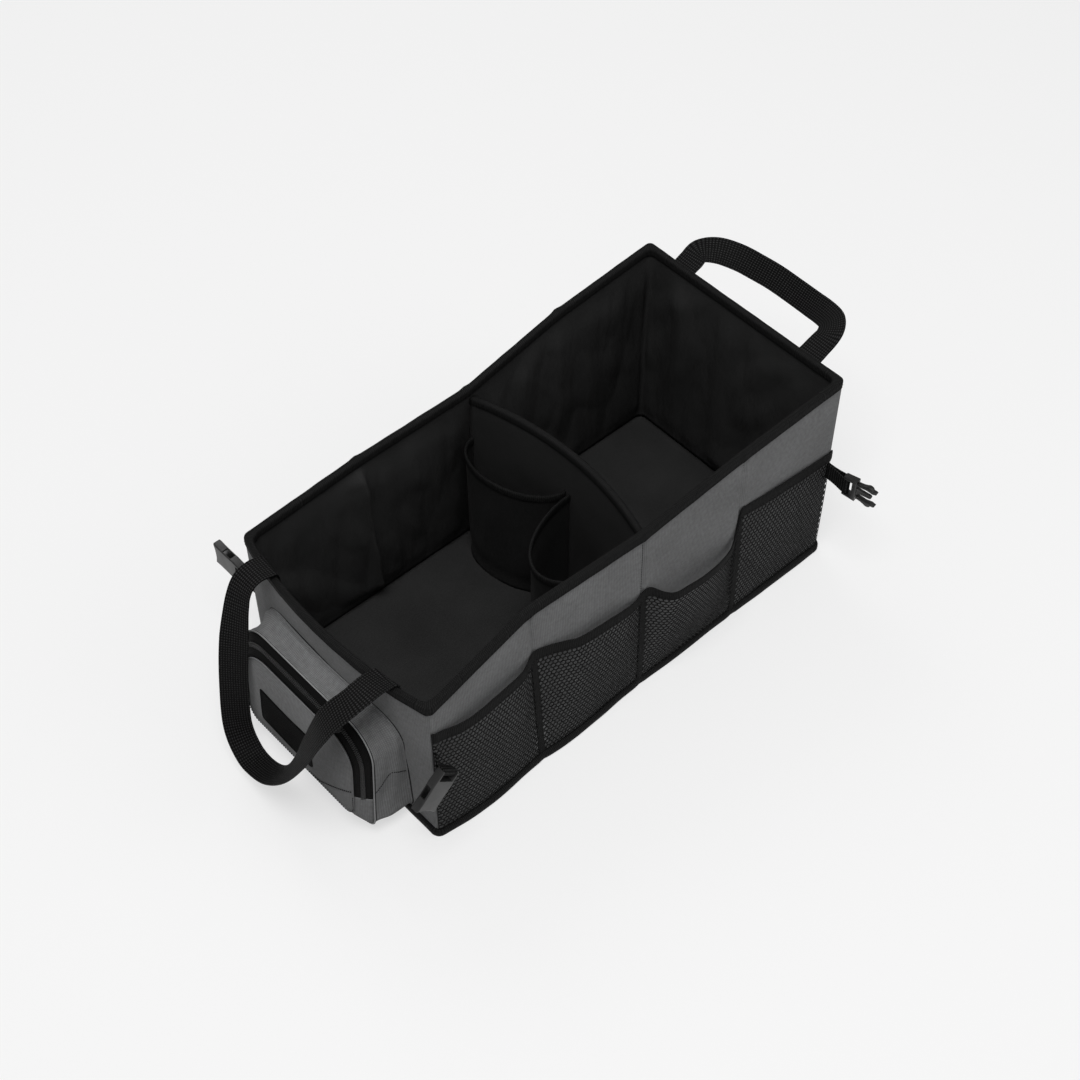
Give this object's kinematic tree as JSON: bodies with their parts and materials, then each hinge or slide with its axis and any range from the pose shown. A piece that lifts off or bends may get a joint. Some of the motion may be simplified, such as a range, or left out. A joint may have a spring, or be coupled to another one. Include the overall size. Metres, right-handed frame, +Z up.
{
  "type": "diaper caddy",
  "caption": "Open-topped fabric caddy with a sloping rim, divider with bottle pockets, net side pockets, zipped end pocket, webbing handles and side-release buckle tabs.",
  "frame": {"origin": "centre of the flat underside, on the surface it stands on", "axes": "+X along the length from the low front end to the high rear end, +Y to the plain far side, +Z up"},
  "size_m": [0.7002, 0.393, 0.2767],
  "materials": {
    "grey_cloth": "matte woven polyester",
    "black_cloth": "matte woven polyester",
    "lining": "satin woven lining",
    "black_tape": "ribbed tape",
    "webbing": "ribbed webbing",
    "net": "open knitted net",
    "stiffener": "hidden stiffening board",
    "grey_plastic": "satin moulded",
    "black_plastic": "satin moulded",
    "zip_metal": "black enamel"
  },
  "bodies": {
    "caddy": {"base_cloth": "black_cloth", "base_board_front": "stiffener", "base_board_rear": "stiffener", "floor_lining": "lining", "near_side_cloth": "grey_cloth", "far_side_cloth": "grey_cloth", "front_end_cloth": "grey_cloth", "rear_end_cloth": "grey_cloth", "near_board_1": "stiffener", "near_board_2": "stiffener", "near_board_3": "stiffener", "near_board_4": "stiffener", "far_board_1": "stiffener", "far_board_2": "stiffener", "far_board_3": "stiffener", "far_board_4": "stiffener", "front_end_board": "stiffener", "rear_end_board": "stiffener", "wall_lining": "lining", "rim_binding": "black_tape", "base_binding": "black_tape", "divider_board": "stiffener", "divider_cover": "lining", "divider_binding": "black_tape", "far_bottle_pocket": "black_cloth", "far_bottle_pocket_binding": "black_tape", "near_bottle_pocket": "black_cloth", "near_bottle_pocket_binding": "black_tape", "mesh_net_1": "net", "mesh_net_2": "net", "mesh_net_3": "net", "mesh_net_4": "net", "mesh_top_tape": "black_tape", "mesh_seam_1": "black_tape", "mesh_seam_2": "black_tape", "mesh_seam_3": "black_tape", "zip_pocket_gusset": "grey_cloth", "zip_pocket_front": "grey_cloth", "zip_pocket_lower_band": "grey_cloth", "zip_tape": "black_tape", "zip_chain": "black_plastic", "label_patch": "black_cloth", "near_front_tab": "webbing", "far_front_tab": "webbing", "near_rear_tab": "webbing", "far_rear_tab": "webbing", "front_handle_near_stub": "webbing", "front_handle_far_stub": "webbing"},
    "zip_slider": {"zip_slider": "zip_metal"},
    "zip_puller": {"zip_puller": "zip_metal"},
    "front_handle": {"front_handle": "webbing"},
    "rear_handle": {"rear_handle": "webbing"},
    "near_front_buckle": {"near_front_female_buckle": "grey_plastic"},
    "far_front_buckle": {"far_front_female_buckle": "grey_plastic"},
    "near_rear_buckle": {"near_rear_male_buckle": "black_plastic"},
    "near_rear_lower_arm": {"near_rear_lower_arm": "black_plastic"},
    "near_rear_upper_arm": {"near_rear_upper_arm": "black_plastic"},
    "far_rear_buckle": {"far_rear_male_buckle": "black_plastic"},
    "far_rear_lower_arm": {"far_rear_lower_arm": "black_plastic"},
    "far_rear_upper_arm": {"far_rear_upper_arm": "black_plastic"}
  },
  "joints": [
    {"name": "front_handle_swing", "type": "hinge", "parent": "caddy", "child": "front_handle", "pos_m": [-0.2929, 0, 0.2195], "axis": [0, 1, 0], "range_deg": [0, 140]},
    {"name": "rear_handle_swing", "type": "hinge", "parent": "caddy", "child": "rear_handle", "pos_m": [0.2673, 0, 0.252], "axis": [0, -1, 0], "range_deg": [-70, 65]},
    {"name": "zip_slider_run", "type": "slide", "parent": "caddy", "child": "zip_slider", "axis": [0, 1, 0], "range_m": [0, 0.08]},
    {"name": "zip_puller_swing", "type": "hinge", "parent": "zip_slider", "child": "zip_puller", "pos_m": [-0.31282, -0.03908, 0.14608], "axis": [-0.6503, 0, -0.7597], "range_deg": [0, 170]},
    {"name": "near_front_buckle_swing", "type": "hinge", "parent": "caddy", "child": "near_front_buckle", "pos_m": [-0.262, -0.1523, 0.128], "axis": [-0.7071, 0, 0.7071], "range_deg": [-15, 150]},
    {"name": "far_front_buckle_swing", "type": "hinge", "parent": "caddy", "child": "far_front_buckle", "pos_m": [-0.262, 0.1523, 0.128], "axis": [0, 0, 1], "range_deg": [-85, 85]},
    {"name": "near_rear_buckle_swing", "type": "hinge", "parent": "caddy", "child": "near_rear_buckle", "pos_m": [0.262, -0.1613, 0.128], "axis": [0, 0, 1], "range_deg": [-85, 75]},
    {"name": "near_rear_lower_arm_squeeze", "type": "hinge", "parent": "near_rear_buckle", "child": "near_rear_lower_arm", "pos_m": [0.26431, -0.1744, 0.1191], "axis": [-0.9848, -0.1736, 0], "range_deg": [0, 8], "stiffness_Nm_per_rad": 0.3},
    {"name": "near_rear_upper_arm_squeeze", "type": "hinge", "parent": "near_rear_buckle", "child": "near_rear_upper_arm", "pos_m": [0.26431, -0.1744, 0.1369], "axis": [-0.9848, -0.1736, 0], "range_deg": [-8, 0], "stiffness_Nm_per_rad": 0.3},
    {"name": "far_rear_buckle_swing", "type": "hinge", "parent": "caddy", "child": "far_rear_buckle", "pos_m": [0.262, 0.1613, 0.128], "axis": [0, 0, 1], "range_deg": [-75, 85]},
    {"name": "far_rear_lower_arm_squeeze", "type": "hinge", "parent": "far_rear_buckle", "child": "far_rear_lower_arm", "pos_m": [0.26431, 0.1744, 0.1191], "axis": [0.9848, -0.1736, 0], "range_deg": [0, 8], "stiffness_Nm_per_rad": 0.3},
    {"name": "far_rear_upper_arm_squeeze", "type": "hinge", "parent": "far_rear_buckle", "child": "far_rear_upper_arm", "pos_m": [0.26431, 0.1744, 0.1369], "axis": [0.9848, -0.1736, 0], "range_deg": [-8, 0], "stiffness_Nm_per_rad": 0.3}
  ]
}
